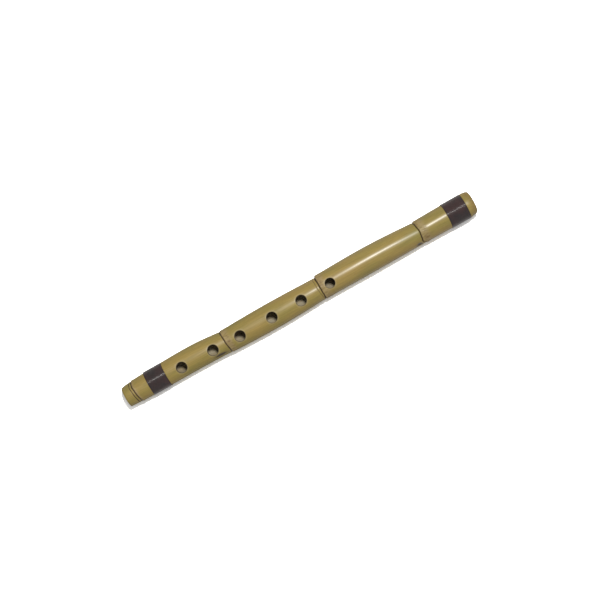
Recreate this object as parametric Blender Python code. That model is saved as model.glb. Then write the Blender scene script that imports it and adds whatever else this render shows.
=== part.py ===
"""Kawala: an end-blown flute of reed cane, with two bindings of wound thread.

The cane lies along X with its blowing end at +X and its finger holes facing +Z, and rests on Z = 0.
All sizes are in metres. Places along the cane are counted from the foot end.
"""

import math
from collections import namedtuple

import bmesh
import bpy
import numpy as np
from mathutils import Vector

# Lengths of cane from one node to the next, foot first
FOOT_PIECE_LENGTH = 0.0101
STRETCH_1_LENGTH = 0.0900
STRETCH_2_LENGTH = 0.0956
STRETCH_3_LENGTH = 0.0997
MOUTH_STRETCH_LENGTH = 0.0546

# Outer radius at both ends of each stretch and at its swell
FOOT_END_RADIUS = 0.0093
FOOT_NODE_RADIUS = 0.0102
STRETCH_1_START_RADIUS = 0.0106
STRETCH_1_SWELL_RADIUS = 0.0114
STRETCH_1_END_RADIUS = 0.0106
STRETCH_2_START_RADIUS = 0.0110
STRETCH_2_SWELL_RADIUS = 0.0120
STRETCH_2_END_RADIUS = 0.0108
STRETCH_3_START_RADIUS = 0.0116
STRETCH_3_SWELL_RADIUS = 0.0121
STRETCH_3_END_RADIUS = 0.0107
MOUTH_START_RADIUS = 0.0111
MOUTH_SWELL_RADIUS = 0.01155
MOUTH_END_RADIUS = 0.0114

# How far each swell lies along its stretch, as a share of that stretch
STRETCH_1_SWELL_AT = 0.62
STRETCH_2_SWELL_AT = 0.47
STRETCH_3_SWELL_AT = 0.44
MOUTH_SWELL_AT = 0.60

# Sideways wander of the centre line, which steps a little at each node
FOOT_END_SIDE = -0.0004
FOOT_NODE_SIDE = 0.0
STRETCH_1_SWELL_SIDE = 0.0009
STRETCH_1_END_SIDE = -0.0005
STRETCH_2_START_SIDE = -0.0005
STRETCH_2_SWELL_SIDE = -0.0005
STRETCH_2_END_SIDE = 0.0
STRETCH_3_START_SIDE = 0.0006
STRETCH_3_SWELL_SIDE = 0.0010
STRETCH_3_END_SIDE = 0.0001
MOUTH_START_SIDE = 0.0003
MOUTH_SWELL_SIDE = 0.0006
MOUTH_END_SIDE = 0.0010

# Wall, and the rest of the pierced septum inside each node
CANE_WALL = 0.0030
FOOT_WALL = 0.0022
SEPTUM_HEIGHT = 0.0011
SEPTUM_THICKNESS = 0.0016
SEPTUM_SLOPE = 0.0014

# Grooves round the outside, one at each node and a fainter one before the foot node
NODE_GROOVE_DEPTH = 0.00045
NODE_GROOVE_WIDTH = 0.0012
FOOT_GROOVE_DEPTH = 0.00025
FOOT_GROOVE_WIDTH = 0.0009
FOOT_GROOVE_BEFORE_NODE = 0.0023

# Rounded rims at both ends
MOUTH_RIM_LENGTH = 0.0060
MOUTH_RIM_DEPTH = 0.0022
FOOT_RIM_LENGTH = 0.0010
FOOT_RIM_DEPTH = 0.0006

# Finger holes: how far each is past the node before it, how far it is to the side, and its diameter
HOLE_1_PAST_FOOT_NODE = 0.0461
HOLE_2_PAST_FOOT_NODE = 0.0772
HOLE_3_PAST_NODE_1 = 0.0140
HOLE_4_PAST_NODE_1 = 0.0461
HOLE_5_PAST_NODE_1 = 0.0756
HOLE_6_PAST_NODE_2 = 0.0096
HOLE_1_SIDE = -0.0007
HOLE_2_SIDE = -0.0009
HOLE_3_SIDE = -0.0017
HOLE_4_SIDE = -0.0011
HOLE_5_SIDE = -0.0007
HOLE_6_SIDE = 0.0002
HOLE_DIAMETER = 0.0095
HOLE_6_DIAMETER = 0.0088

# Bindings: distance from their end of the cane, width, and layers
LOWER_BINDING_FROM_FOOT = 0.0234
LOWER_BINDING_WIDTH = 0.0178
UPPER_BINDING_FROM_MOUTH = 0.0077
UPPER_BINDING_WIDTH = 0.0190
BINDING_PROUD = 0.00035
CORE_THICKNESS = 0.00035
THREAD_DIAMETER = 0.0005
BINDING_TURNS = 15
FIT_GAP = 0.0003

# Fineness of the faceted surfaces
ROUND_SIDES = 40
HOLE_SIDES = 28
LOOP_POINTS = 24
THREAD_BEVEL_RESOLUTION = 1
CORNER_POINTS = 3
STEPS_PER_STRETCH = 8
STEPS_PER_RIM = 4
STEPS_PER_FOOT_PIECE = 2

NODE_0_AT = FOOT_PIECE_LENGTH
NODE_1_AT = NODE_0_AT + STRETCH_1_LENGTH
NODE_2_AT = NODE_1_AT + STRETCH_2_LENGTH
NODE_3_AT = NODE_2_AT + STRETCH_3_LENGTH
CANE_LENGTH = NODE_3_AT + MOUTH_STRETCH_LENGTH

Stretch = namedtuple("Stretch", "start length swell_at steps wall radii sides")
Groove = namedtuple("Groove", "at width depth")
Hole = namedtuple("Hole", "at side diameter")
Binding = namedtuple("Binding", "name start width")
Ring = namedtuple("Ring", "along side radius")

# Radii and sides of a stretch are those at its start, its swell and its end
STRETCHES = (
    Stretch(
        0.0,
        FOOT_PIECE_LENGTH,
        1.0,
        STEPS_PER_FOOT_PIECE,
        FOOT_WALL,
        (FOOT_END_RADIUS, FOOT_NODE_RADIUS, FOOT_NODE_RADIUS),
        (FOOT_END_SIDE, FOOT_NODE_SIDE, FOOT_NODE_SIDE),
    ),
    Stretch(
        NODE_0_AT,
        STRETCH_1_LENGTH,
        STRETCH_1_SWELL_AT,
        STEPS_PER_STRETCH,
        CANE_WALL,
        (STRETCH_1_START_RADIUS, STRETCH_1_SWELL_RADIUS, STRETCH_1_END_RADIUS),
        (FOOT_NODE_SIDE, STRETCH_1_SWELL_SIDE, STRETCH_1_END_SIDE),
    ),
    Stretch(
        NODE_1_AT,
        STRETCH_2_LENGTH,
        STRETCH_2_SWELL_AT,
        STEPS_PER_STRETCH,
        CANE_WALL,
        (STRETCH_2_START_RADIUS, STRETCH_2_SWELL_RADIUS, STRETCH_2_END_RADIUS),
        (STRETCH_2_START_SIDE, STRETCH_2_SWELL_SIDE, STRETCH_2_END_SIDE),
    ),
    Stretch(
        NODE_2_AT,
        STRETCH_3_LENGTH,
        STRETCH_3_SWELL_AT,
        STEPS_PER_STRETCH,
        CANE_WALL,
        (STRETCH_3_START_RADIUS, STRETCH_3_SWELL_RADIUS, STRETCH_3_END_RADIUS),
        (STRETCH_3_START_SIDE, STRETCH_3_SWELL_SIDE, STRETCH_3_END_SIDE),
    ),
    Stretch(
        NODE_3_AT,
        MOUTH_STRETCH_LENGTH,
        MOUTH_SWELL_AT,
        STEPS_PER_STRETCH,
        CANE_WALL,
        (MOUTH_START_RADIUS, MOUTH_SWELL_RADIUS, MOUTH_END_RADIUS),
        (MOUTH_START_SIDE, MOUTH_SWELL_SIDE, MOUTH_END_SIDE),
    ),
)
NODES = tuple(stretch.start for stretch in STRETCHES[1:])
GROOVES = (
    Groove(NODE_0_AT - FOOT_GROOVE_BEFORE_NODE, FOOT_GROOVE_WIDTH, FOOT_GROOVE_DEPTH),
    *(Groove(node, NODE_GROOVE_WIDTH, NODE_GROOVE_DEPTH) for node in NODES),
)
HOLES = (
    Hole(NODE_0_AT + HOLE_1_PAST_FOOT_NODE, HOLE_1_SIDE, HOLE_DIAMETER),
    Hole(NODE_0_AT + HOLE_2_PAST_FOOT_NODE, HOLE_2_SIDE, HOLE_DIAMETER),
    Hole(NODE_1_AT + HOLE_3_PAST_NODE_1, HOLE_3_SIDE, HOLE_DIAMETER),
    Hole(NODE_1_AT + HOLE_4_PAST_NODE_1, HOLE_4_SIDE, HOLE_DIAMETER),
    Hole(NODE_1_AT + HOLE_5_PAST_NODE_1, HOLE_5_SIDE, HOLE_DIAMETER),
    Hole(NODE_2_AT + HOLE_6_PAST_NODE_2, HOLE_6_SIDE, HOLE_6_DIAMETER),
)
BINDINGS = (
    Binding("lower_binding", LOWER_BINDING_FROM_FOOT, LOWER_BINDING_WIDTH),
    Binding(
        "upper_binding",
        CANE_LENGTH - UPPER_BINDING_FROM_MOUTH - UPPER_BINDING_WIDTH,
        UPPER_BINDING_WIDTH,
    ),
)


def stretch_at(along):
    """The stretch of cane that holds this place."""
    for stretch in STRETCHES:
        if along <= stretch.start + stretch.length:
            return stretch
    return STRETCHES[-1]


def eased(stretch, values, along):
    """A value that rises from a stretch's start to its swell and falls to its end in sine curves."""
    start, swell, end = values
    share = (along - stretch.start) / stretch.length
    if share < stretch.swell_at:
        return start + (swell - start) * math.sin(math.pi / 2 * share / stretch.swell_at)
    if stretch.swell_at == 1:
        return end
    past = (share - stretch.swell_at) / (1 - stretch.swell_at)
    return end + (swell - end) * math.cos(math.pi / 2 * past)


def plain_ring(along):
    """The cane's outer ring here, without grooves, rims or seats."""
    stretch = stretch_at(along)
    return Ring(along, eased(stretch, stretch.sides, along), eased(stretch, stretch.radii, along))


def bore_ring(along, narrowed=0.0):
    """The bore's ring here."""
    outer = plain_ring(along)
    return outer._replace(radius=outer.radius - stretch_at(along).wall - narrowed)


def spaced(first, last, steps):
    """Places from first to last, both included."""
    return [first + (last - first) * step / steps for step in range(steps + 1)]


def groove_rings(groove):
    """A V groove with a narrow flat bottom."""
    before = plain_ring(groove.at - groove.width / 2)
    after = plain_ring(groove.at + groove.width / 2)
    bottom_radius = min(before.radius, after.radius) - groove.depth
    bottom_side = (before.side + after.side) / 2
    bottom_half = groove.width / 6
    return [
        before,
        Ring(groove.at - bottom_half, bottom_side, bottom_radius),
        Ring(groove.at + bottom_half, bottom_side, bottom_radius),
        after,
    ]


def rim_rings(end, inward, length, depth):
    """A rim rounded as a quarter of an ellipse, from the end of the cane towards its middle."""
    rings = []
    for step in range(STEPS_PER_RIM + 1):
        turn = math.pi / 2 * step / STEPS_PER_RIM
        ring = plain_ring(end + inward * length * (1 - math.cos(turn)))
        rings.append(ring._replace(radius=ring.radius - depth * (1 - math.sin(turn))))
    return rings


def band_radii(binding):
    """Outer radius of a binding's turns, the circle of its thread, its core's radii and its seat's."""
    outer = plain_ring(binding.start + binding.width / 2).radius + BINDING_PROUD
    circle = outer - THREAD_DIAMETER / 2
    core_outer = circle * math.cos(math.pi / LOOP_POINTS) - THREAD_DIAMETER / 2 - FIT_GAP
    core_inner = core_outer - CORE_THICKNESS
    return circle, core_outer, core_inner, core_inner - FIT_GAP


def band_side(binding):
    """Sideways place of a binding, that of the cane under its middle."""
    return plain_ring(binding.start + binding.width / 2).side


def seat_rings(binding):
    """The shallow seat scraped into the cane, square at both shoulders."""
    *_, seat_radius = band_radii(binding)
    side = band_side(binding)
    end = binding.start + binding.width
    return [
        plain_ring(binding.start),
        Ring(binding.start, side, seat_radius),
        Ring(end, side, seat_radius),
        plain_ring(end),
    ]


def outer_rings():
    """The cane's outside from the foot to the mouth, with what is cut or rounded in it."""
    features = [
        rim_rings(0.0, 1, FOOT_RIM_LENGTH, FOOT_RIM_DEPTH),
        *(groove_rings(groove) for groove in GROOVES),
        *(seat_rings(binding) for binding in BINDINGS),
        rim_rings(CANE_LENGTH, -1, MOUTH_RIM_LENGTH, MOUTH_RIM_DEPTH)[::-1],
    ]
    features.sort(key=lambda rings: rings[0].along)
    taken = [(rings[0].along - FIT_GAP, rings[-1].along + FIT_GAP) for rings in features]
    between = []
    for stretch in STRETCHES:
        swell = stretch.start + stretch.length * stretch.swell_at
        half = stretch.steps // 2
        places = spaced(stretch.start, swell, half) + spaced(swell, stretch.start + stretch.length, half)[1:]
        between += [
            [plain_ring(along)]
            for along in places
            if not any(low <= along <= high for low, high in taken)
        ]
    return [ring for rings in sorted(features + between, key=lambda r: r[0].along) for ring in rings]


def inner_rings():
    """The bore from the foot to the mouth, narrowed at each septum."""
    rings = []
    half = SEPTUM_THICKNESS / 2
    reach = half + SEPTUM_SLOPE
    for stretch in STRETCHES:
        first = stretch.start if stretch is STRETCHES[0] else stretch.start + reach
        last = stretch.start + stretch.length
        if stretch is STRETCHES[-1]:
            rings += [bore_ring(along) for along in spaced(first, last, stretch.steps // 2)]
            continue
        rings += [bore_ring(along) for along in spaced(first, last - reach, stretch.steps // 2)]
        narrow = min(bore_ring(last - half).radius, bore_ring(last + half).radius) - SEPTUM_HEIGHT
        rings += [
            bore_ring(last - half)._replace(radius=narrow),
            bore_ring(last + half)._replace(radius=narrow),
        ]
    return rings


def material(name, colour, roughness):
    """A plain surface in one colour."""
    made = bpy.data.materials.new(name)
    made.use_nodes = True
    shader = made.node_tree.nodes["Principled BSDF"]
    shader.inputs["Base Color"].default_value = (*colour, 1.0)
    shader.inputs["Roughness"].default_value = roughness
    shader.inputs["Metallic"].default_value = 0.0
    return made


def placed(name, data, parent, at, surface):
    """An object in the scene, held by its parent."""
    made = bpy.data.objects.new(name, data)
    bpy.context.collection.objects.link(made)
    made.parent = parent
    made.location = at
    if surface:
        data.materials.append(surface)
    return made


def turned_mesh(name, rings):
    """A closed skin over rings that run once round a wall, with a flat side underneath."""
    shape = bmesh.new()
    loops = []
    for ring in rings:
        loop = []
        for side in range(ROUND_SIDES):
            turn = 2 * math.pi * (side + 0.5) / ROUND_SIDES
            y = ring.side + ring.radius * math.sin(turn)
            loop.append(shape.verts.new((ring.along, y, -ring.radius * math.cos(turn))))
        loops.append(loop)
    for here, there in zip(loops, loops[1:] + loops[:1]):
        for side in range(ROUND_SIDES):
            next_side = (side + 1) % ROUND_SIDES
            shape.faces.new((here[side], here[next_side], there[next_side], there[side]))
    bmesh.ops.recalc_face_normals(shape, faces=shape.faces)
    mesh = bpy.data.meshes.new(name)
    shape.to_mesh(mesh)
    shape.free()
    smooth(mesh)
    return mesh


def smooth(mesh):
    mesh.shade_smooth()
    mesh.set_sharp_from_angle(angle=math.radians(30))


def hole_cutter(parent):
    """Six upright pegs, from the middle of the bore to above the cane."""
    shape = bmesh.new()
    length = 2 * AXIS_HEIGHT
    for hole in HOLES:
        made = bmesh.ops.create_cone(
            shape,
            cap_ends=True,
            segments=HOLE_SIDES,
            radius1=hole.diameter / 2,
            radius2=hole.diameter / 2,
            depth=length,
        )
        bmesh.ops.translate(shape, verts=made["verts"], vec=(hole.at, hole.side, length / 2))
    mesh = bpy.data.meshes.new("finger_hole_cutter")
    shape.to_mesh(mesh)
    shape.free()
    cutter = placed("finger_hole_cutter", mesh, parent, (FOOT_X, AXIS_Y, AXIS_HEIGHT), None)
    cutter.hide_render = True
    cutter.display_type = "WIRE"
    return cutter


def cane_body(parent, surface):
    """The cane: turned outside, bore and septa in one skin, with six holes cut in its upper side."""
    mesh = turned_mesh("cane_body", OUTER_RINGS + inner_rings()[::-1])
    cane = placed("cane_body", mesh, parent, (FOOT_X, AXIS_Y, AXIS_HEIGHT), surface)
    holes = cane.modifiers.new("finger_holes", "BOOLEAN")
    holes.object = hole_cutter(parent)
    holes.operation = "DIFFERENCE"
    holes.solver = "EXACT"


def thread_end(point, tangent, outward):
    """A wound thread's end: a quarter turn off the winding, then one diameter straight at the shoulder."""
    along = Vector((outward, 0.0, 0.0))
    points = []
    for step in range(1, CORNER_POINTS + 1):
        turn = math.pi / 2 * step / CORNER_POINTS
        points.append(point + THREAD_DIAMETER * (tangent * math.sin(turn) + along * (1 - math.cos(turn))))
    points.append(points[-1] + along * THREAD_DIAMETER)
    return points


def thread_points(binding, circle):
    """The thread's centre line, wound from one shoulder of the seat to the other."""
    margin = FIT_GAP + 2 * THREAD_DIAMETER
    wound = binding.width - 2 * margin
    count = BINDING_TURNS * LOOP_POINTS
    points = []
    for step in range(count + 1):
        turn = 2 * math.pi * step / LOOP_POINTS
        x = margin + wound * step / count
        points.append(Vector((x, circle * math.sin(turn), -circle * math.cos(turn))))
    start_end = thread_end(points[0], Vector((0.0, -1.0, 0.0)), -1)
    last_end = thread_end(points[-1], Vector((0.0, 1.0, 0.0)), 1)
    return start_end[::-1] + points + last_end


def least_gap(points):
    """Least gap of a wound thread to itself, on points along it that are at least half a turn apart."""
    line = np.array(points)
    middles = (line[:-1] + line[1:]) / 2
    samples = np.concatenate([line, middles])
    order = np.concatenate([np.arange(len(line)), np.arange(len(middles)) + 0.5])
    apart = np.linalg.norm(samples[:, None] - samples[None], axis=2)
    apart[np.abs(order[:, None] - order[None]) < LOOP_POINTS / 2] = np.inf
    return apart.min() - THREAD_DIAMETER


def binding_core(binding, parent, surface):
    """The inner layer of a binding, a plain sleeve in the seat."""
    _, core_outer, core_inner, _ = band_radii(binding)
    first, last = FIT_GAP, binding.width - FIT_GAP
    rings = [
        Ring(first, 0.0, core_outer),
        Ring(last, 0.0, core_outer),
        Ring(last, 0.0, core_inner),
        Ring(first, 0.0, core_inner),
    ]
    name = binding.name + "_core"
    placed(name, turned_mesh(name, rings), parent, band_place(binding), surface)


def binding_turns(binding, parent, surface):
    """The outer layer of a binding: one unbroken thread, wound round and round."""
    points = thread_points(binding, band_radii(binding)[0])
    name = binding.name + "_turns"
    curve = bpy.data.curves.new(name, "CURVE")
    curve.dimensions = "3D"
    curve.bevel_depth = THREAD_DIAMETER / 2
    curve.bevel_resolution = THREAD_BEVEL_RESOLUTION
    curve.use_fill_caps = True
    spline = curve.splines.new("POLY")
    spline.points.add(len(points) - 1)
    for spot, point in zip(spline.points, points):
        spot.co = (*point, 1.0)
    spline.use_smooth = True
    placed(name, curve, parent, band_place(binding), surface)
    print(f"{name}: {BINDING_TURNS} turns, least gap to itself {1000 * least_gap(points):.2f} mm")


def band_place(binding):
    """Where a binding's own origin lies: on its axis, at its foot side."""
    return (FOOT_X + binding.start, AXIS_Y + band_side(binding), AXIS_HEIGHT)


OUTER_RINGS = outer_rings()
FLAT_SHARE = math.cos(math.pi / ROUND_SIDES)
AXIS_HEIGHT = max(ring.radius for ring in OUTER_RINGS) * FLAT_SHARE
LEFT_SIDE = max(ring.side + ring.radius * FLAT_SHARE for ring in OUTER_RINGS)
RIGHT_SIDE = min(ring.side - ring.radius * FLAT_SHARE for ring in OUTER_RINGS)
AXIS_Y = -(LEFT_SIDE + RIGHT_SIDE) / 2
FOOT_X = -CANE_LENGTH / 2


def main():
    for old in list(bpy.data.objects):
        bpy.data.objects.remove(old)
    kawala = bpy.data.objects.new("kawala", None)
    bpy.context.collection.objects.link(kawala)
    cane = material("cane", (0.33, 0.235, 0.075), 0.38)
    core_thread = material("core_thread", (0.024, 0.012, 0.009), 0.6)
    thread = material("thread", (0.040, 0.024, 0.018), 0.35)
    cane_body(kawala, cane)
    for binding in BINDINGS:
        binding_core(binding, kawala, core_thread)
        binding_turns(binding, kawala, thread)


main()
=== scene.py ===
"""Looks of the kawala: its cane skin, bore and finger holes, the wound thread, and the studio round it."""

import math
from collections import namedtuple

import bmesh
import bpy
import numpy as np
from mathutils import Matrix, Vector, noise


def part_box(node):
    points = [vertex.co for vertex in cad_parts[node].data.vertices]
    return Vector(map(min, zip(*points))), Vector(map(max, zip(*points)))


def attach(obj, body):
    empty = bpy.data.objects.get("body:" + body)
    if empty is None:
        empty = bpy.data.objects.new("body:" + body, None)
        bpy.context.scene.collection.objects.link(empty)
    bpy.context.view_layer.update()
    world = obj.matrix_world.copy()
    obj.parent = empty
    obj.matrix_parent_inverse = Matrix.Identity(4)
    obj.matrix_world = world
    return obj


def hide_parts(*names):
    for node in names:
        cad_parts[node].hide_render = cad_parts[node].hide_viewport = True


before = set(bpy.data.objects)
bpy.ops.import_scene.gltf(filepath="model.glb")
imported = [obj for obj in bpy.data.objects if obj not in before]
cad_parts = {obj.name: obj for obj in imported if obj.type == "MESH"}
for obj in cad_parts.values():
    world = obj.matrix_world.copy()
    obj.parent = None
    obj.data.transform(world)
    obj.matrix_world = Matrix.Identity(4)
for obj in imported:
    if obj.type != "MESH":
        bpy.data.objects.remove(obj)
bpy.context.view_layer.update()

MM = 0.001

# The cane in the frame: +X towards the mouth, places along it counted in mm from the foot end
CANE_LOW, CANE_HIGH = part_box("cane_body")
CANE_LENGTH = (CANE_HIGH.x - CANE_LOW.x) / MM
FOOT_X = CANE_LOW.x
AXIS_Z = (CANE_LOW.z + CANE_HIGH.z) / 2
AXIS_Y = -0.3 * MM

# The solid cane's flats lie a little inside the radii below, and the skin follows the flats
CANE_FLATS = 40
FLAT_SHARE = math.cos(math.pi / CANE_FLATS)

Stretch = namedtuple("Stretch", "start length swell_at radii sides")
Node = namedtuple("Node", "at depth width wave fibre_reach")
Hole = namedtuple("Hole", "at side radius")
Binding = namedtuple("Binding", "name low high turns")
Scar = namedtuple("Scar", "at degrees length width depth")
Stain = namedtuple("Stain", "at degrees reach across")

# Stretches between nodes, in mm: radii and sideways places at start, swell and end, as in the solids
STRETCHES = (
    Stretch(0.0, 10.1, 1.0, (9.3, 10.2, 10.2), (-0.4, 0.0, 0.0)),
    Stretch(10.1, 90.0, 0.62, (10.6, 11.4, 10.6), (0.0, 0.9, -0.5)),
    Stretch(100.1, 95.6, 0.47, (11.0, 12.0, 10.8), (-0.5, -0.5, 0.0)),
    Stretch(195.7, 99.7, 0.44, (11.6, 12.1, 10.7), (0.6, 1.0, 0.1)),
    Stretch(295.4, 54.6, 0.60, (11.1, 11.55, 11.4), (0.3, 0.6, 1.0)),
)

# The wall's thickness in mm, thinner in the foot piece, and where one gives way to the other
WALL = 3.0
FOOT_WALL = 2.2
WALL_BLEND = (9.3, 10.9)

# Grooves at the nodes, in mm; a wave says how far the groove strays along the cane, by degrees from the top
NODES = (
    Node(7.8, 0.30, 0.30, ((-66, 1.0), (-18, 0.4), (10, 0.2), (25, -0.6), (50, -0.3), (150, 0.3)), 0.0),
    Node(10.1, 0.52, 0.46, ((-66, 1.9), (-47, 1.4), (0, -0.4), (25, -0.9), (58, -0.1), (150, 0.5)), 3.0),
    Node(100.1, 0.52, 0.44, ((-90, 1.3), (-45, 1.1), (0, 0.1), (75, -0.8), (160, 0.2)), 8.0),
    Node(195.7, 0.52, 0.44, ((-60, 0.3), (0, 0.0), (75, -0.2), (170, 0.3)), 9.0),
    Node(
        295.4,
        0.56,
        0.40,
        ((-77, 1.9), (-48, -0.9), (-30, -0.6), (0, 0.1), (44, -0.7), (68, -1.45), (150, 0.2)),
        10.0,
    ),
)
NODE_BEFORE = 4
NODE_AFTER = 14
JOINT_BEFORE = 0.3
WAVE_REACH = 5.0
WAVE_TREMBLE = 0.18
FOOT_NODES = 2
FOOT_WAVE_SHARE = 0.5

# A faint groove before one node, in mm, that bends away on one side of the cane
FAINT_GROOVE_AT = 193.2
FAINT_GROOVE_DEPTH = 0.14
FAINT_GROOVE_WIDTH = 0.25
FAINT_GROOVE_BEND = 1.4

# Relief at the nodes, in mm: a raised lip after the groove, ridges along the cane and rings round it
LIP_HEIGHT = 0.16
LIP_PAST_GROOVE = 1.0
LIP_WIDTH = 0.7
RIDGE_HEIGHT = 0.20
RIDGES_ROUND = 10
RIDGE_SWEEP = 0.03
RIDGES_FROM = (0.1, 0.8)
RIDGES_FADE = 0.45
RING_SHARE = 0.6
RINGS_BEFORE = 0.035
SWAY_HEIGHT = 0.06

# Bud scars beside the nodes, alternately on one side and the other
SCARS = (
    Scar(91.5, -50, 9.0, 1.3, 0.40),
    Scar(188.5, 118, 4.0, 1.2, 0.40),
    Scar(290.8, -60, 4.6, 1.6, 0.60),
)

# Finger holes, in mm: place along the cane, place to the side and radius
HOLES = (
    Hole(56.4, -1.1, 4.75),
    Hole(87.5, -1.3, 4.75),
    Hole(114.2, -2.1, 4.75),
    Hole(146.4, -1.5, 4.75),
    Hole(175.9, -1.1, 4.75),
    Hole(205.3, -0.2, 4.4),
)
HOLE_EDGE = 0.45

# A hole opens a block of cells: half its length in mm, its cells to a side, and the turn of its first corner
HOLE_BLOCK = 6.4
BLOCK_CELLS = 24
BLOCK_STEP = 2 * HOLE_BLOCK / BLOCK_CELLS
BLOCK_CORNER = math.radians(225)

# How glossy the lacquer is along the cane, from 0 to 1, at places in mm
GLOSS = (
    (0, 0.5), (10, 0.3), (45, 0.15), (80, 0.25), (92, 0.6), (98, 0.5), (102, 0.1),
    (150, 0.2), (182, 0.45), (190, 0.9), (194, 0.6), (198, 0.2), (212, 0.75), (240, 1.0),
    (292, 0.9), (297, 0.3), (303, 1.0), (322, 1.0), (350, 0.5),
)

# Brown stains under the lacquer after three nodes: place, degrees from the top, reach along and across
USUAL_RADIUS = 11
STAINS = (
    Stain(300.0, -32, 4.6, 3.4),
    Stain(102.5, -10, 3.5, 4.0),
    Stain(198.6, 8, 2.4, 5.0),
)

# Bindings lie in seats of the cane, at places read from the frame's own nodes, in mm
SEAT_GAP = 0.3
SEAT_DEPTH = 1.55
SEAT_CLEAR_OF_RINGS = 0.3
BINDING_PROUD = 0.35
THREAD = 0.44
THREAD_HEIGHT = 0.20
THREAD_END_GAP = 0.03
THREAD_START = math.radians(200)
THREAD_DIVE = 1.2
UNDER_LAYER_SIDE_GAP = 0.05
UNDER_LAYER_TOP_GAP = 0.02
RIB_HEIGHT = 0.06

# Rounded rims, in mm: reach along the cane and depth
MOUTH_RIM = (6.0, 2.2)
FOOT_RIM = (1.0, 0.6)
END_RING_SHARE = 0.35

# What is left of the septa inside, and how uneven the bore is, in mm
SEPTUM_HEIGHT = 1.1
SEPTUM_TORN = 0.35
FOOT_SEPTUM_TORN = 0.4
SEPTUM_RAGGED = 0.22
SEPTUM_HALF = 0.8
SEPTUM_SLOPE = 1.4
BORE_UNEVEN = 0.05

# Fineness: sides of the rings, and steps along the cane in mm
SKIN_SIDES = 112
BORE_SIDES = 80
COARSE_STEP = 1.3
NODE_STEP = 0.23
BORE_STEP = 2.2
SEPTUM_STEPS = 10
THREAD_STEPS = 112
THREAD_SIDES = 8
UNDER_LAYER_SIDES = 96
RIB_STEPS = 4
SHARP_ANGLE = math.radians(50)


def stretch_at(along):
    """The stretch that a place along the cane lies on."""
    for stretch in STRETCHES:
        if along <= stretch.start + stretch.length:
            return stretch
    return STRETCHES[-1]


def eased(stretch, values, along):
    """From a stretch's start to its swell and on to its end, in sine curves."""
    start, swell, end = values
    share = min(max((along - stretch.start) / stretch.length, 0.0), 1.0)
    if share < stretch.swell_at:
        return start + (swell - start) * math.sin(math.pi / 2 * share / stretch.swell_at)
    if stretch.swell_at == 1:
        return end
    past = (share - stretch.swell_at) / (1 - stretch.swell_at)
    return end + (swell - end) * math.cos(math.pi / 2 * past)


def smooth_step(value, low, high):
    share = min(max((value - low) / (high - low), 0.0), 1.0)
    return share * share * (3 - 2 * share)


def blended(along, field):
    """A stretch's value, carried smoothly over the nodes' grooves."""
    for before, after in zip(STRETCHES, STRETCHES[1:]):
        if abs(along - after.start) < LIP_PAST_GROOVE:
            low = eased(before, getattr(before, field), along)
            high = eased(after, getattr(after, field), along)
            share = smooth_step(along, after.start - JOINT_BEFORE, after.start + LIP_PAST_GROOVE)
            return low + (high - low) * share
    stretch = stretch_at(along)
    return eased(stretch, getattr(stretch, field), along)


def round_trip(points, degrees):
    """A closed smooth curve through (degrees, value) points, read at any angle."""
    points = sorted(points)
    for first, second in zip(points, points[1:] + [(points[0][0] + 360, points[0][1])]):
        for angle in (degrees, degrees + 360):
            if first[0] <= angle <= second[0]:
                share = smooth_step(angle, first[0], second[0])
                return first[1] + (second[1] - first[1]) * share
    return points[0][1]


WAVES = [
    [round_trip(node.wave, degree) for degree in range(-180, 181)]
    for node in NODES
]


def wave(index, turn):
    """How far a node's groove strays along the cane here."""
    degrees = math.degrees(turn) % 360
    degrees = degrees - 360 if degrees > 180 else degrees
    low = math.floor(degrees) + 180
    part = degrees + 180 - low
    row = WAVES[index]
    value = row[low] * (1 - part) + row[min(low + 1, 360)] * part
    tremble = noise.noise(Vector((3 * math.cos(turn), 3 * math.sin(turn), 7.0 * index)))
    return value + WAVE_TREMBLE * tremble


def bell(value, width):
    return math.exp(-((value / width) ** 2))


def turn_of(side, sides):
    """Turn from the top of one of a ring's sides."""
    return 2 * math.pi * side / sides


def turn_from(turn, degrees):
    """Turn from a place given in degrees, at most half a turn either way."""
    return (turn - math.radians(degrees) + math.pi) % (2 * math.pi) - math.pi


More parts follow.
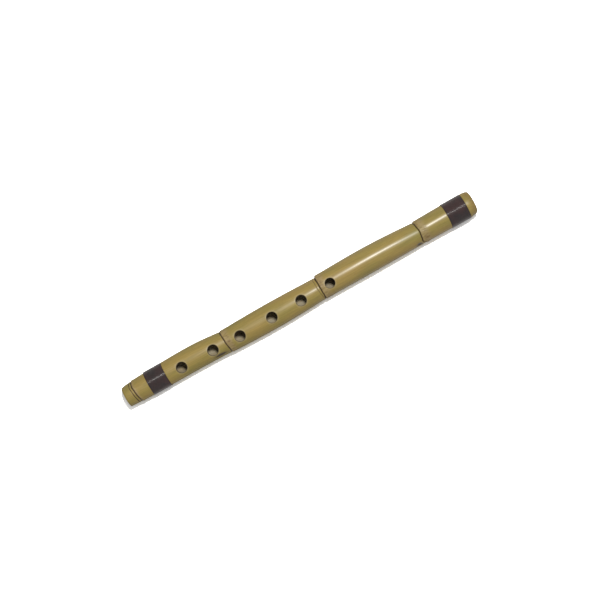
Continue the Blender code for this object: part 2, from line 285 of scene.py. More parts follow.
def skin_detail(along, turn):
    """Height of the skin's detail in mm, and its marks: groove, fibre, scar."""
    around = Vector((math.cos(turn), math.sin(turn), 0.0))
    height = SWAY_HEIGHT * noise.noise(around * 1.1 + Vector((0, 0, along * 0.035)))
    groove_mark = fibre_mark = scar_mark = 0.0
    for index, node in enumerate(NODES):
        past = along - node.at
        if not -NODE_BEFORE < past < NODE_AFTER:
            continue
        strength = 0.8 + 0.35 * noise.noise(around * 4 + Vector((5, 0, index)))
        height -= node.depth * strength * bell(past, node.width)
        groove_mark = max(groove_mark, strength * bell(past, node.width * 1.25))
        if node.fibre_reach:
            lip = LIP_HEIGHT * bell(past - LIP_PAST_GROOVE, LIP_WIDTH)
            height += lip * (0.75 + 0.5 * noise.noise(around * 3 + Vector((0, 9, index))))
            faded = smooth_step(past, RIDGES_FADE * node.fibre_reach, node.fibre_reach)
            window = smooth_step(past, *RIDGES_FROM) * (1 - faded)
            sweep = turn + RIDGE_SWEEP * past
            across, up = RIDGES_ROUND * math.cos(sweep), RIDGES_ROUND * math.sin(sweep)
            comb = noise.noise(Vector((across, up, past * 0.12 + 3 * index)))
            rings = noise.noise(around * 1.2 + Vector((0, 0, past * 1.9 + 11 * index)))
            height += window * (RIDGE_HEIGHT * comb + RING_SHARE * RIDGE_HEIGHT * rings)
            fibre_mark = max(fibre_mark, window * (0.75 + 0.5 * comb))
            height += RINGS_BEFORE * bell(past + 1.3, 0.9) * rings
    bend = FAINT_GROOVE_BEND * max(0.0, -math.sin(turn))
    faint = bell(along - FAINT_GROOVE_AT - bend, FAINT_GROOVE_WIDTH)
    faint *= smooth_step(math.cos(turn - 0.4), -0.2, 0.5)
    height -= FAINT_GROOVE_DEPTH * faint
    groove_mark = max(groove_mark, 0.55 * faint)
    for scar in SCARS:
        across = turn_from(turn, scar.degrees) * blended(along, "radii")
        sunk = bell(along - scar.at, scar.length / 2) * bell(across, scar.width)
        height -= scar.depth * sunk
        scar_mark = max(scar_mark, min(1.0, 1.5 * sunk))
    return height, groove_mark, fibre_mark, scar_mark


def gloss_at(along):
    return float(np.interp(along, [at for at, _ in GLOSS], [gloss for _, gloss in GLOSS]))


def stain_at(along, turn):
    """How brown a stain makes the skin here, from 0 to 1."""
    mark = 0.0
    for stain in STAINS:
        across = turn_from(turn, stain.degrees) * USUAL_RADIUS
        mark = max(mark, bell(along - stain.at, stain.reach) * bell(across, stain.across))
    return mark


def centre_line(along):
    return blended(along, "sides")


def skin_radius(along):
    return blended(along, "radii") * FLAT_SHARE


def rim_drop(along):
    """How far the rounded rims lie below the plain skin."""
    drop = 0.0
    for inward, (reach, depth) in ((CANE_LENGTH - along, MOUTH_RIM), (along, FOOT_RIM)):
        if inward < reach:
            share = 1 - max(inward, 0.0) / reach
            drop += depth * (1 - math.sqrt(max(1 - share * share, 0.0)))
    return drop


def round_centre(along, turn, radius, side):
    """A point in the frame, in metres: mm along, turn from the top, mm out from a centre mm to the side."""
    return Vector((
        FOOT_X + along * MM,
        AXIS_Y + (side + radius * math.sin(turn)) * MM,
        AXIS_Z + radius * math.cos(turn) * MM,
    ))


def in_frame(along, turn, radius):
    """A point in the frame, round the cane's own centre line."""
    return round_centre(along, turn, radius, centre_line(along))


def skin_point(along, turn):
    """A point of the outer skin in the frame, and its marks; under the bindings the skin is plain."""
    height, *marks = skin_detail(along, turn)
    if any(binding.low - 1 < along < binding.high + 1 for binding in BINDINGS):
        height = 0.0
    radius = skin_radius(along) + height - rim_drop(along)
    strayed = along
    for index, node in enumerate(NODES):
        past = along - node.at
        if abs(past) < 3 * WAVE_REACH:
            share = FOOT_WAVE_SHARE if index < FOOT_NODES else 1.0
            strayed += wave(index, turn) * bell(past, WAVE_REACH) * share
    return in_frame(strayed, turn, radius), marks


def bindings():
    """The bindings' places in mm from the foot, read from the frame's nodes."""
    found = []
    for name in ("lower_binding", "upper_binding"):
        low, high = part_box(name + "_core")
        first = (low.x - FOOT_X) / MM - SEAT_GAP
        last = (high.x - FOOT_X) / MM + SEAT_GAP
        found.append(Binding(name, first, last, int((last - first) / THREAD)))
    return found


BINDINGS = bindings()


def band_middle(binding):
    return (binding.low + binding.high) / 2


def band_outer(binding):
    return blended(band_middle(binding), "radii") + BINDING_PROUD


def seat_radius(binding):
    return band_outer(binding) - SEAT_DEPTH


def filled_in(places, longest):
    """The places in order, with more between those that lie further apart than the longest step."""
    places = sorted(set(round(place, 5) for place in places))
    filled = []
    for here, there in zip(places, places[1:]):
        count = max(math.ceil((there - here) / longest - 1e-6), 1)
        filled += [here + (there - here) * k / count for k in range(count)]
    return filled + [places[-1]]


def skin_stations():
    """Places along the cane where the skin has a ring: close together at nodes, holes and rims."""
    zones = [
        (0.0, FOOT_RIM[0], 0.125),
        (6.2, 13.6, 0.22),
        (95.8, HOLES[2].at - HOLE_BLOCK, NODE_STEP),
        (190.8, HOLES[5].at - HOLE_BLOCK, NODE_STEP),
        (288.0, 306.0, NODE_STEP),
        (CANE_LENGTH - MOUTH_RIM[0], CANE_LENGTH, 0.24),
    ]
    zones += [(hole.at - HOLE_BLOCK, hole.at + HOLE_BLOCK, BLOCK_STEP) for hole in HOLES]
    places = []
    for low, high, step in zones:
        count = max(round((high - low) / step), 1)
        places += [low + (high - low) * k / count for k in range(count + 1)]
    return filled_in(places, COARSE_STEP)


def bore_stations():
    """Places along the bore: the holes' own, and close together at the septa."""
    reach = SEPTUM_HALF + SEPTUM_SLOPE
    places = [0.0, CANE_LENGTH]
    for hole in HOLES:
        places += [hole.at - HOLE_BLOCK + BLOCK_STEP * k for k in range(BLOCK_CELLS + 1)]
    for stretch in STRETCHES[1:]:
        steps = range(-SEPTUM_STEPS, SEPTUM_STEPS + 1)
        places += [stretch.start + reach * k / SEPTUM_STEPS for k in steps]
    return filled_in(places, BORE_STEP)


def bore_radius(along, turn=0.0):
    """The bore follows the outside at one wall's depth, narrowed by what is left of each septum."""
    wall = FOOT_WALL + (WALL - FOOT_WALL) * smooth_step(along, *WALL_BLEND)
    radius = skin_radius(along) - wall
    around = Vector((math.cos(turn), math.sin(turn), 0.0))
    for index, stretch in enumerate(STRETCHES[1:]):
        past = abs(along - stretch.start)
        if past < SEPTUM_HALF + SEPTUM_SLOPE:
            height = 1 - smooth_step(past, SEPTUM_HALF, SEPTUM_HALF + SEPTUM_SLOPE)
            ragged = SEPTUM_RAGGED * noise.noise(around * 3 + Vector((0, 0, 5 * index)))
            narrow = SEPTUM_HEIGHT + (SEPTUM_TORN if index else FOOT_SEPTUM_TORN) + ragged
            radius -= narrow * height
    return radius + BORE_UNEVEN * noise.noise(around * 2.5 + Vector((3, 0, along * 0.05)))


def bore_point(along, turn):
    return in_frame(along, turn, bore_radius(along, turn))


def placed(name, data):
    """A new object of the scene that shows the data."""
    made = bpy.data.objects.new(name, data)
    bpy.context.collection.objects.link(made)
    return made


class Shape:
    """Points, faces, marks and material numbers of a mesh in the making."""

    def __init__(self):
        self.points = []
        self.faces = []
        self.surfaces = []
        self.marks = []
        self.zones = []

    def point(self, place, marks=(0.0, 0.0, 0.0), zone=(0.0, 0.0, 0.0)):
        self.points.append(place)
        self.marks.append(marks)
        self.zones.append(zone)
        return len(self.points) - 1

    def face(self, corners, surface):
        self.faces.append(corners)
        self.surfaces.append(surface)

    def strip(self, here, there, surface, flip=False):
        """A band of faces between two closed rings; flip winds them the other way."""
        count = len(here)
        for k in range(count):
            n = (k + 1) % count
            corners = (here[k], here[n], there[n], there[k])
            self.face(corners[::-1] if flip else corners, surface)

    def made(self, name, materials):
        mesh = bpy.data.meshes.new(name)
        mesh.from_pydata([tuple(p) for p in self.points], [], self.faces)
        for material in materials:
            mesh.materials.append(material)
        mesh.polygons.foreach_set("material_index", self.surfaces)
        for label, rows in (("marks", self.marks), ("zones", self.zones)):
            layer = mesh.color_attributes.new(label, "FLOAT_COLOR", "POINT")
            flat = np.ones((len(rows), 4), dtype=np.float32)
            flat[:, :3] = rows
            layer.data.foreach_set("color", flat.ravel())
        outward = bmesh.new()
        outward.from_mesh(mesh)
        bmesh.ops.recalc_face_normals(outward, faces=outward.faces)
        outward.to_mesh(mesh)
        outward.free()
        mesh.shade_smooth()
        mesh.set_sharp_from_angle(angle=SHARP_ANGLE)
        mesh.validate()
        mesh.update()
        return placed(name, mesh)


# The cane's surfaces; its marks are groove, fibre and scar on the skin, and burnt on cut cane
# Its zones are cut, gloss and brown on the skin, and on cut cane the second is how far down a wall, which
# darkens cut cane as painted shade
SKIN, CUT, BORE = 0, 1, 2
BURNT = (1.0, 0.0, 0.0)


def hole_block(hole, stations, sides, radius_of):
    """The block of grid cells that a finger hole opens, as first station, first side."""
    first = min(range(len(stations)), key=lambda k: abs(stations[k] - (hole.at - HOLE_BLOCK)))
    centre = math.asin((hole.side - centre_line(hole.at)) / radius_of(hole.at))
    middle = round(centre / (2 * math.pi) * sides)
    return first, middle - BLOCK_CELLS // 2


def grid(shape, stations, sides, place, surface, flip, radius_of):
    """Rings of points joined into a tube, with a block left open at each hole.

    Gives the rings, and for each hole the points round its block as place along, turn and number.
    """
    rings = [[place(along, turn_of(side, sides)) for side in range(sides)] for along in stations]
    open_cells = set()
    rims = []
    n = BLOCK_CELLS
    for hole in HOLES:
        first, left = hole_block(hole, stations, sides, radius_of)
        open_cells.update((first + i, (left + j) % sides) for i in range(n) for j in range(n))
        edge = [(first + i, left) for i in range(n)]
        edge += [(first + n, left + j) for j in range(n)]
        edge += [(first + n - i, left + n) for i in range(n)]
        edge += [(first, left + n - j) for j in range(n)]
        rims.append([(stations[i], turn_of(j, sides), rings[i][j % sides]) for i, j in edge])
    for i in range(len(stations) - 1):
        for j in range(sides):
            if (i, j) in open_cells:
                continue
            beside = (j + 1) % sides
            corners = (rings[i][j], rings[i][beside], rings[i + 1][beside], rings[i + 1][j])
            shape.face(corners[::-1] if flip else corners, surface)
    return rings, rims


def round_hole(hole, radius, step):
    """Places along and across the cane of a point round a hole, in step with its block's edge."""
    turn = BLOCK_CORNER + turn_of(step, 4 * BLOCK_CELLS)
    return hole.at + radius * math.cos(turn), hole.side + radius * math.sin(turn)


def turn_across(along, across, radius):
    """Turn from the top at which a radius of the cane reaches a place across it."""
    return math.asin(max(-1.0, min(1.0, (across - centre_line(along)) / radius)))


def finger_hole(shape, hole, skin_rim, bore_rim):
    """Rings from the open block in the skin, over the rounded edge, down the wall and into the bore."""
    steps = range(4 * BLOCK_CELLS)
    edge = [point for _, _, point in skin_rim]
    for share in (0.3, 0.6, 0.85, 1.0):
        ring = []
        for step in steps:
            from_along, from_turn, _ = skin_rim[step]
            along, across = round_hole(hole, hole.radius + HOLE_EDGE, step)
            to_turn = turn_across(along, across, skin_radius(along))
            here = from_along + (along - from_along) * share
            turn = from_turn + (to_turn - from_turn) * share
            place, marks = skin_point(here, turn)
            pale = 0.4 * smooth_step(share, 0.5, 0.85)
            ring.append(shape.point(place, marks, (pale, gloss_at(here), 0.0)))
        shape.strip(edge, ring, SKIN)
        edge = ring
    for degrees in (25, 50, 75, 90):
        rolled = math.radians(degrees)
        radius = hole.radius + HOLE_EDGE * (1 - math.sin(rolled))
        drop = HOLE_EDGE * (1 - math.cos(rolled)) * MM
        ring = []
        for step in steps:
            along, across = round_hole(hole, radius, step)
            top, _ = skin_point(along, turn_across(along, across, skin_radius(along)))
            ring.append(shape.point(top - Vector((0, 0, drop)), BURNT, (0.0, 0.3, 0.0)))
        shape.strip(edge, ring, CUT if degrees > 30 else SKIN)
        edge = ring
    wall_top = [shape.points[point] for point in edge]
    # Down the wall, the depth share in the zones darkens the cut cane as painted shade
    for share in (0.25, 0.5, 0.75, 1.0):
        ring = []
        for step in steps:
            along, across = round_hole(hole, hole.radius, step)
            bottom = bore_point(along, turn_across(along, across, bore_radius(along)))
            ring.append(shape.point(wall_top[step].lerp(bottom, share), BURNT, (0.0, share, 0.0)))
        shape.strip(edge, ring, CUT)
        edge = ring
    for share in (0.3, 0.65):
        ring = []
        for step in steps:
            to_along, to_turn, _ = bore_rim[step]
            along, across = round_hole(hole, hole.radius, step)
            from_turn = turn_across(along, across, bore_radius(along))
            here = along + (to_along - along) * share
            turn = from_turn + (to_turn - from_turn) * share
            ring.append(shape.point(bore_point(here, turn)))
        shape.strip(edge, ring, BORE)
        edge = ring
    shape.strip(edge, [point for _, _, point in bore_rim], BORE)


def seat_rings(shape, binding):
    """Rings that step down square into the seat of a binding and up again."""
    rings = []
    for along, sunk in (
        (binding.low, False),
        (binding.low, True),
        (binding.high, True),
        (binding.high, False),
    ):
        ring = []
        for side in range(SKIN_SIDES):
            turn = turn_of(side, SKIN_SIDES)
            if sunk:
                ring.append(shape.point(in_frame(along, turn, seat_radius(binding))))
            else:
                ring.append(shape.point(*skin_point(along, turn)))
        rings.append(ring)
    return rings


def cane_piece(materials):
    """The whole cane in one closed skin: outside, rims, finger holes, bore and pierced septa."""
    shape = Shape()

    def skin(along, turn):
        place, marks = skin_point(along, turn)
        mouth = smooth_step(along, CANE_LENGTH - MOUTH_RIM[0] - 1.0, CANE_LENGTH - 1.0)
        foot = 0.6 * (1 - smooth_step(along, 0.2, 1.2))
        brown = max(mouth, foot, stain_at(along, turn))
        return shape.point(place, marks, (0.0, gloss_at(along), brown))

    # Bore points carry a depth of 1, so cut cane beside the bore takes the most painted shade
    def bore(along, turn):
        return shape.point(bore_point(along, turn), zone=(0.0, 1.0, 0.0))

    kept = [
        along
        for along in skin_stations()
        if not any(b.low - SEAT_CLEAR_OF_RINGS < along < b.high + SEAT_CLEAR_OF_RINGS for b in BINDINGS)
    ]
    skin_rings, skin_rims = grid(shape, kept, SKIN_SIDES, skin, SKIN, True, skin_radius)
    bridge_seats(shape, kept, skin_rings)
    bore_rings, bore_rims = grid(shape, bore_stations(), BORE_SIDES, bore, BORE, False, bore_radius)
    for hole, skin_rim, bore_rim in zip(HOLES, skin_rims, bore_rims):
        finger_hole(shape, hole, skin_rim, bore_rim)
    end_face(shape, skin_rings[0], bore_rings[0], 0.0, True)
    end_face(shape, skin_rings[-1], bore_rings[-1], CANE_LENGTH, False)
    piece = shape.made("cane", materials)
    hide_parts("cane_body")
    return piece


def bridge_seats(shape, kept, rings):
    """Swaps the plain cells over each binding for its seat."""
    for binding in BINDINGS:
        before = max(k for k, along in enumerate(kept) if along < binding.low)
        after = before + 1
        spare = set()
        for j in range(SKIN_SIDES):
            n = (j + 1) % SKIN_SIDES
            spare.add(frozenset((rings[before][j], rings[before][n], rings[after][n], rings[after][j])))
        keep = [k for k, face in enumerate(shape.faces) if frozenset(face) not in spare]
        shape.faces = [shape.faces[k] for k in keep]
        shape.surfaces = [shape.surfaces[k] for k in keep]
        chain = [rings[before], *seat_rings(shape, binding), rings[after]]
        for here, there in zip(chain, chain[1:]):
            shape.strip(here, there, SKIN, flip=True)


def end_face(shape, skin_ring, bore_ring, along, foot):
    """The cut end of the cane, from the skin's sides over a ring between to the bore's fewer sides."""
    skin_sides, bore_sides = len(skin_ring), len(bore_ring)
    inner = bore_radius(along)
    outer = skin_radius(along) - rim_drop(along)
    radius = inner + END_RING_SHARE * (outer - inner)
    middle = [
        shape.point(in_frame(along, turn_of(side, skin_sides), radius))
        for side in range(skin_sides)
    ]
    shape.strip(middle, skin_ring, CUT, flip=foot)
    i = j = 0
    while i < skin_sides or j < bore_sides:
        if j >= bore_sides or (i < skin_sides and (i + 1) / skin_sides <= (j + 1) / bore_sides):
            corners = (middle[i % skin_sides], middle[(i + 1) % skin_sides], bore_ring[j % bore_sides])
            i += 1
        else:
            corners = (middle[i % skin_sides], bore_ring[(j + 1) % bore_sides], bore_ring[j % bore_sides])
            j += 1
        shape.face(corners if foot else corners[::-1], CUT)


def thread_piece(binding, material):
    """The outer layer of a binding: one fine thread, each turn against the last, its ends tucked under."""
    radius = THREAD / 2
    half_height = THREAD_HEIGHT / 2
    circle = band_outer(binding) - half_height
    side_place = centre_line(band_middle(binding))
    first = binding.low + radius + THREAD_END_GAP
    pitch = (binding.high - binding.low - 2 * radius - 2 * THREAD_END_GAP) / binding.turns
    count = binding.turns * THREAD_STEPS
    tuck = THREAD_STEPS // 6
    shape = Shape()
    rings = []
    for step in range(count + 1):
        turn = turn_of(step, THREAD_STEPS) + THREAD_START
        along = first + pitch * step / THREAD_STEPS
        along += 0.012 * noise.noise(Vector((step / THREAD_STEPS * 0.9, 3.1, binding.low)))
        dive = max(0.0, 1 - min(step, count - step) / tuck)
        lift = 0.004 * noise.noise(Vector((step / 19.0, binding.low, 1.7)))
        out = circle + lift - THREAD_DIVE * THREAD_HEIGHT * dive * dive
        ring = []
        for side in range(THREAD_SIDES):
            roll = turn_of(side, THREAD_SIDES)
            here = along + radius * math.sin(roll)
            place = round_centre(here, turn, out + half_height * math.cos(roll), side_place)
            ring.append(shape.point(place))
        rings.append(ring)
    for here, there in zip(rings, rings[1:]):
        shape.strip(here, there, 0, flip=True)
    shape.face(tuple(rings[0]), 0)
    shape.face(tuple(rings[-1][::-1]), 0)
    piece = shape.made(binding.name + "_thread", [material])
    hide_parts(binding.name + "_turns")
    return piece


def under_layer_piece(binding, material):
    """The inner layer of a binding, ribbed by the thread that it is wound from."""
    inner = seat_radius(binding) + UNDER_LAYER_SIDE_GAP
    outer = band_outer(binding) - THREAD_HEIGHT - UNDER_LAYER_TOP_GAP
    side_place = centre_line(band_middle(binding))
    first, last = binding.low + UNDER_LAYER_SIDE_GAP, binding.high - UNDER_LAYER_SIDE_GAP
    steps = round((last - first) / THREAD) * RIB_STEPS
    profile = [(first, inner)]
    for k in range(steps + 1):
        rib = RIB_HEIGHT * math.cos(turn_of(k, RIB_STEPS))
        profile.append((first + (last - first) * k / steps, outer - RIB_HEIGHT + rib))
    profile.append((last, inner))
    shape = Shape()
    rings = []
    for along, radius in profile:
        ring = []
        for side in range(UNDER_LAYER_SIDES):
            turn = turn_of(side, UNDER_LAYER_SIDES)
            ring.append(shape.point(round_centre(along, turn, radius, side_place)))
        rings.append(ring)
    for here, there in zip(rings, rings[1:] + rings[:1]):
        shape.strip(here, there, 0, flip=True)
    piece = shape.made(binding.name + "_under_layer", [material])
    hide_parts(binding.name + "_core")
    return piece


class Paint:
    """A material's node tree, with short calls to add to it."""

    def __init__(self, name):
        self.material = bpy.data.materials.new(name)
        self.material.use_nodes = True
        self.tree = self.material.node_tree
        self.shader = self.tree.nodes["Principled BSDF"]

    def add(self, kind, **settings):
        node = self.tree.nodes.new(kind)
        for key, value in settings.items():
            setattr(node, key, value)
        return node

    def link(self, source, target):
        self.tree.links.new(source, target)

    def stretched(self, scale):
        """Object coordinates, scaled unlike along and across the cane."""
        place = self.add("ShaderNodeTexCoord")
        mapping = self.add("ShaderNodeMapping")
        mapping.inputs["Scale"].default_value = scale
        self.link(place.outputs["Object"], mapping.inputs["Vector"])
        return mapping.outputs["Vector"]

    def noise(self, scale, detail=3.0, roughness=0.5):
        texture = self.add("ShaderNodeTexNoise")
        texture.inputs["Scale"].default_value = 1.0
        texture.inputs["Detail"].default_value = detail
        texture.inputs["Roughness"].default_value = roughness
        self.link(self.stretched(scale), texture.inputs["Vector"])
        return texture.outputs["Fac"]

    def ranged(self, value, low, high, to_low, to_high):
        node = self.add("ShaderNodeMapRange")
        settings = {"From Min": low, "From Max": high, "To Min": to_low, "To Max": to_high}
        for socket, number in settings.items():
            node.inputs[socket].default_value = number
        self.link(value, node.inputs["Value"])
        return node.outputs["Result"]

    def mixed(self, share, first, second, mode="MIX"):
        """Two colours mixed, on the colour sockets of the node."""
        node = self.add("ShaderNodeMix", data_type="RGBA", blend_type=mode)
        self.put(share, node.inputs[0])
        self.put(first, node.inputs[6])
        self.put(second, node.inputs[7])
        return node.outputs[2]

    def maths(self, operation, first, second):
        node = self.add("ShaderNodeMath", operation=operation)
        self.put(first, node.inputs[0])
        self.put(second, node.inputs[1])
        return node.outputs[0]

    def put(self, value, socket):
        if isinstance(value, bpy.types.NodeSocket):
            self.link(value, socket)
        elif isinstance(value, tuple):
            socket.default_value = (*value, 1.0)
        else:
            socket.default_value = value

    def painted(self, label):
        """The three channels of a painted attribute of the mesh."""
        attribute = self.add("ShaderNodeAttribute", attribute_name=label)
        split = self.add("ShaderNodeSeparateColor")
        self.link(attribute.outputs["Color"], split.inputs[0])
        return split.outputs[0], split.outputs[1], split.outputs[2]

    def bump(self, height, distance, strength=1.0, onto=None):
        node = self.add("ShaderNodeBump")
        node.inputs["Distance"].default_value = distance
        node.inputs["Strength"].default_value = strength
        self.link(height, node.inputs["Height"])
        if onto is not None:
            self.link(onto, node.inputs["Normal"])
        return node.outputs["Normal"]


# Colours, as linear light
TAN = (0.330, 0.237, 0.062)
OLIVE = (0.248, 0.205, 0.048)
WARM = (0.372, 0.240, 0.070)
PALE_FIBRE = (0.375, 0.275, 0.140)
FIBRE_BROWN = (0.140, 0.078, 0.030)
GROOVE_BROWN = (0.035, 0.018, 0.007)
CUT_PALE = (0.450, 0.370, 0.210)
BURNT_BROWN = (0.040, 0.030, 0.018)
BORE_PALE = (0.370, 0.340, 0.250)
THREAD_DARK = (0.013, 0.006, 0.006)
THREAD_RED = (0.032, 0.010, 0.009)


def cane_skin():
    """Lacquered reed skin: long fibres, slow patches of tan and olive, grooves and scars dark brown."""
    n = Paint("cane_skin")
    groove, fibre, scar = n.painted("marks")
    cut, gloss, brown = n.painted("zones")
    patches = n.noise((28, 75, 75), detail=4)
    slow = n.noise((9, 30, 30), detail=2)
    streaks = n.noise((45, 1500, 1500), detail=3, roughness=0.6)
    fine = n.noise((120, 3800, 3800), detail=2)
    colour = n.mixed(n.ranged(patches, 0.38, 0.66, 0.0, 1.0), TAN, OLIVE)
    colour = n.mixed(n.ranged(slow, 0.45, 0.72, 0.0, 0.7), colour, WARM)
    grain = n.ranged(streaks, 0.3, 0.7, 0.80, 1.13)
    grain_colour = n.add("ShaderNodeCombineColor")
    for socket in grain_colour.inputs[:3]:
        n.link(grain, socket)
    colour = n.mixed(1.0, colour, grain_colour.outputs[0], "MULTIPLY")
    specks = n.ranged(n.noise((650, 1500, 1500), detail=1), 0.70, 0.78, 0.0, 0.55)
    colour = n.mixed(specks, colour, FIBRE_BROWN)
    flecks = n.ranged(n.noise((260, 900, 900), detail=2), 0.50, 0.66, 0.0, 1.0)
    fibre_colour = n.mixed(n.maths("MULTIPLY", flecks, 0.75), PALE_FIBRE, FIBRE_BROWN)
    colour = n.mixed(n.maths("MULTIPLY", fibre, 0.75), colour, fibre_colour)
    stain = n.maths("MULTIPLY", brown, n.ranged(flecks, 0.0, 1.0, 0.25, 0.65))
    colour = n.mixed(stain, colour, FIBRE_BROWN)
    colour = n.mixed(n.maths("MULTIPLY", cut, 0.8), colour, CUT_PALE)
    colour = n.mixed(n.ranged(scar, 0.0, 0.8, 0.0, 0.97), colour, GROOVE_BROWN)
    dark = n.ranged(groove, 0.08, 0.55, 0.0, 0.95)
    colour = n.mixed(dark, colour, GROOVE_BROWN)
    n.put(colour, n.shader.inputs["Base Color"])
    rough = n.ranged(gloss, 0.0, 1.0, 0.52, 0.31)
    rough = n.maths("ADD", rough, n.ranged(patches, 0.3, 0.7, -0.03, 0.05))
    rough = n.maths("ADD", rough, n.maths("MULTIPLY", fibre, 0.12))
    rough = n.maths("ADD", rough, n.maths("MULTIPLY", dark, 0.25))
    n.put(rough, n.shader.inputs["Roughness"])
    n.shader.inputs["Specular IOR Level"].default_value = 0.38
    n.shader.inputs["Coat Weight"].default_value = 0.08
    n.shader.inputs["Coat Roughness"].default_value = 0.20
    ground = n.bump(streaks, 0.00005, 0.5)
    n.put(n.bump(fine, 0.00002, 0.5, ground), n.shader.inputs["Normal"])
    return n.material


def cut_cane():
    """Bare cut cane: pale, with the darker dots of its fibre bundles, and painted shade that darkens it down
    the hole walls and towards the bore.
    """
    n = Paint("cut_cane")
    burnt, _, _ = n.painted("marks")
    _, painted_shade_depth, _ = n.painted("zones")
    dots = n.add("ShaderNodeTexVoronoi")
    dots.inputs["Scale"].default_value = 1.0
    n.link(n.stretched((300, 1700, 1700)), dots.inputs["Vector"])
    bundle = n.ranged(dots.outputs["Distance"], 0.16, 0.34, 0.75, 0.0)
    mottle = n.noise((700, 700, 700), detail=4)
    colour = n.mixed(n.ranged(mottle, 0.35, 0.7, 0.0, 0.6), CUT_PALE, WARM)
    colour = n.mixed(bundle, colour, FIBRE_BROWN)
    # Painted shade: the cut cane darkens the further down a hole's wall it lies, and towards the bore
    colour = n.mixed(n.ranged(painted_shade_depth, 0.1, 1.0, 0.15, 0.45), colour, FIBRE_BROWN)
    scorch = n.maths("MULTIPLY", burnt, n.ranged(mottle, 0.3, 0.7, 0.95, 0.80))
    colour = n.mixed(scorch, colour, BURNT_BROWN)
    n.put(colour, n.shader.inputs["Base Color"])
    n.put(n.ranged(mottle, 0.3, 0.7, 0.55, 0.75), n.shader.inputs["Roughness"])
    n.put(n.bump(mottle, 0.00006, 0.7), n.shader.inputs["Normal"])
    return n.material


def bore_cane():
    """The bore: raw pale pith with long fibres, browned in patches."""
    n = Paint("bore_cane")
    fibres = n.noise((40, 1100, 1100), detail=3, roughness=0.6)
    scorch = n.noise((45, 130, 130), detail=4)
    colour = n.mixed(n.ranged(fibres, 0.35, 0.7, 0.0, 0.55), BORE_PALE, WARM)
    colour = n.mixed(n.ranged(scorch, 0.50, 0.75, 0.0, 0.6), colour, FIBRE_BROWN)
    n.put(colour, n.shader.inputs["Base Color"])
    n.put(n.ranged(fibres, 0.3, 0.7, 0.6, 0.8), n.shader.inputs["Roughness"])
    n.put(n.bump(fibres, 0.00008, 0.8), n.shader.inputs["Normal"])
    return n.material


def waxed_thread(name, roughness, coat):
    """Dark waxed thread: plies that slant across it, and slow changes of brown."""
    n = Paint(name)
    plies = n.add("ShaderNodeTexWave", wave_type="BANDS", bands_direction="DIAGONAL")
    plies.inputs["Scale"].default_value = 1.0
    plies.inputs["Distortion"].default_value = 0.6
    n.link(n.stretched((3400, 900, 900)), plies.inputs["Vector"])
    slow = n.noise((120, 90, 90), detail=3)
    colour = n.mixed(n.ranged(slow, 0.35, 0.68, 0.0, 1.0), THREAD_DARK, THREAD_RED)
    n.put(colour, n.shader.inputs["Base Color"])
    n.put(n.ranged(slow, 0.3, 0.7, roughness - 0.04, roughness + 0.06), n.shader.inputs["Roughness"])
    n.shader.inputs["Specular IOR Level"].default_value = 0.12
    n.shader.inputs["Coat Weight"].default_value = coat
    n.shader.inputs["Coat Roughness"].default_value = 0.20
    n.put(n.bump(plies.outputs["Fac"], 0.00001, 0.1), n.shader.inputs["Normal"])
    return n.material


# The studio, in metres and degrees
SENSOR_WIDTH = 36.0
CAMERA_LENS = 85.0
CAMERA_HEIGHT = 1.2471
CAMERA_OVER = (0.00026, -0.00061)
CAMERA_SEES = (0.05, 20.0)
PICTURE_TURN = 29.3
KEY_PLACE = (0.20, 0.275, 1.25)
KEY_SIZE = 0.19
KEY_POWER = 13.0
KEY_COLOUR = (1.0, 0.985, 0.955)
WORLD_LIGHT = 0.24
FLOOR_SIZE = 40.0
FLOOR_DROP = 0.0001
FLOOR_SEEN = 3.0
FLOOR_IN_GLOSS = 0.85
FLOOR_FOR_LIGHT = 0.25


def camera():
    """Straight above, turned so that the flute lies from lower left to upper right."""
    data = bpy.data.cameras.new("camera")
    data.sensor_width = SENSOR_WIDTH
    data.lens = CAMERA_LENS
    data.clip_start, data.clip_end = CAMERA_SEES
    made = placed("camera", data)
    made.location = (*CAMERA_OVER, AXIS_Z + CAMERA_HEIGHT)
    made.rotation_euler = (0.0, 0.0, -math.radians(PICTURE_TURN))
    bpy.context.scene.camera = made


def key_light():
    """One small round lamp high up, aimed at the flute."""
    data = bpy.data.lights.new("key", "AREA")
    data.shape = "DISK"
    data.size = KEY_SIZE
    data.energy = KEY_POWER
    data.color = KEY_COLOUR
    made = placed("key", data)
    made.location = KEY_PLACE
    aim = Vector((0.0, 0.0, AXIS_Z)) - made.location
    made.rotation_euler = aim.to_track_quat("-Z", "Y").to_euler()


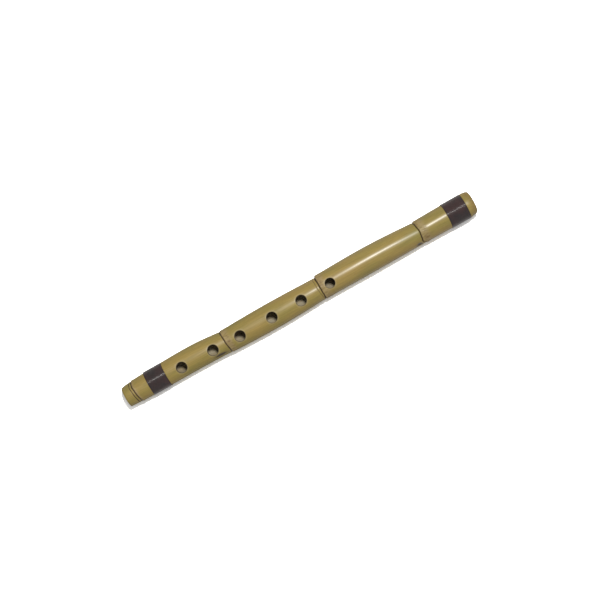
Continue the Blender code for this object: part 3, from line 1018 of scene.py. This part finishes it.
def world_light():
    """Even light from all round, which the camera and gloss see as plain white."""
    world = bpy.data.worlds.new("studio")
    bpy.context.scene.world = world
    world.use_nodes = True
    nodes, links = world.node_tree.nodes, world.node_tree.links
    back = nodes["Background"]
    seen = nodes.new("ShaderNodeBackground")
    back.inputs["Color"].default_value = (1.0, 1.0, 1.0, 1.0)
    back.inputs["Strength"].default_value = WORLD_LIGHT
    seen.inputs["Color"].default_value = (1.0, 1.0, 1.0, 1.0)
    path = nodes.new("ShaderNodeLightPath")
    mix = nodes.new("ShaderNodeMixShader")
    either = path.outputs["Is Camera Ray"]
    for ray in ("Is Glossy Ray", "Is Transmission Ray"):
        more = nodes.new("ShaderNodeMath")
        more.operation = "MAXIMUM"
        links.new(either, more.inputs[0])
        links.new(path.outputs[ray], more.inputs[1])
        either = more.outputs[0]
    links.new(either, mix.inputs[0])
    links.new(back.outputs[0], mix.inputs[1])
    links.new(seen.outputs[0], mix.inputs[2])
    links.new(mix.outputs[0], nodes["World Output"].inputs["Surface"])


def floor():
    """A pale sheet under the flute, seen white by the camera and pale in gloss, with the flute's shadow."""
    n = Paint("floor")
    n.shader.inputs["Roughness"].default_value = 1.0
    n.shader.inputs["Specular IOR Level"].default_value = 0.0
    path = n.add("ShaderNodeLightPath")
    in_gloss = n.maths("MAXIMUM", path.outputs["Is Glossy Ray"], path.outputs["Is Transmission Ray"])
    colour = n.mixed(in_gloss, (FLOOR_FOR_LIGHT,) * 3, (FLOOR_IN_GLOSS,) * 3)
    colour = n.mixed(path.outputs["Is Camera Ray"], colour, (FLOOR_SEEN,) * 3)
    n.put(colour, n.shader.inputs["Base Color"])
    mesh = bpy.data.meshes.new("floor")
    half = FLOOR_SIZE / 2
    corners = ((-half, -half), (half, -half), (half, half), (-half, half))
    mesh.from_pydata([(x, y, -FLOOR_DROP) for x, y in corners], [], [(0, 1, 2, 3)])
    mesh.materials.append(n.material)
    sheet = placed("floor", mesh)


def main():
    scene = bpy.context.scene
    scene.view_settings.view_transform = "Standard"
    camera()
    key_light()
    world_light()
    floor()
    cane = cane_piece([cane_skin(), cut_cane(), bore_cane()])
    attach(cane, "root")
    outer_thread = waxed_thread("waxed_thread", 0.32, 0.65)
    inner_thread = waxed_thread("inner_thread", 0.55, 0.0)
    for binding in BINDINGS:
        turns = thread_piece(binding, outer_thread)
        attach(turns, "root")
        under = under_layer_piece(binding, inner_thread)
        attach(under, "root")


main()
